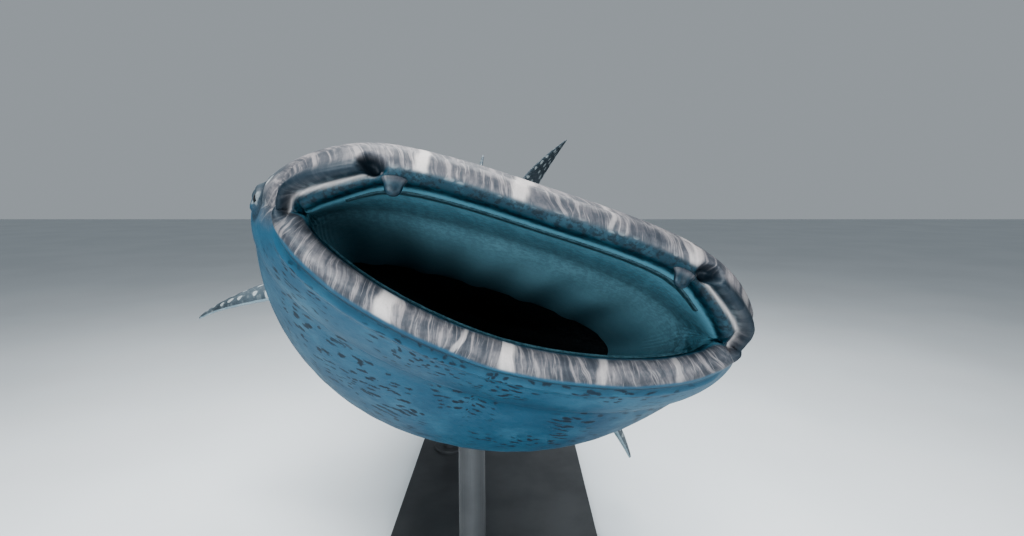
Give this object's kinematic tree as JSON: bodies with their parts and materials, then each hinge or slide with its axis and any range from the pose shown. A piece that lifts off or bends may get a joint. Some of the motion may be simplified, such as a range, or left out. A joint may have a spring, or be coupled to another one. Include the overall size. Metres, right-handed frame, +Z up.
{
  "type": "whale shark",
  "caption": "Life-size swimming whale shark with its wide mouth open, banked in a gentle turn on a low display stand.",
  "frame": {"origin": "centre of the underside of the stand's base plate", "axes": "+Z up, -Y the way the snout faces, +X the shark's left"},
  "size_m": [2.9268, 6.8672, 3.048],
  "materials": {
    "skin": "wet, satin",
    "belly": "wet, satin",
    "fin": "wet, satin",
    "eye": "polished, wet",
    "pad": "matt, porous",
    "teeth": "fine, rough",
    "stand": "satin black paint"
  },
  "bodies": {
    "root": {"eye_left": "eye", "eye_right": "eye", "head": "skin", "lower_jaw": "belly", "nasal_flap_left": "skin", "nasal_flap_right": "skin", "tooth_band_upper": "teeth", "tooth_band_lower": "teeth", "filter_pads": "pad", "gill_region": "skin", "body_middle": "skin", "body_rear": "skin", "tail_stalk": "skin", "pectoral_fin_left": "fin", "pectoral_fin_right": "fin", "pelvic_fin_left": "fin", "pelvic_fin_right": "fin", "dorsal_fin_first": "fin", "dorsal_fin_second": "fin", "anal_fin": "fin", "caudal_fin_upper": "fin", "caudal_fin_lower": "fin", "stand_base": "stand", "stand_rod_front": "stand", "stand_rod_rear": "stand"}
  },
  "joints": []
}
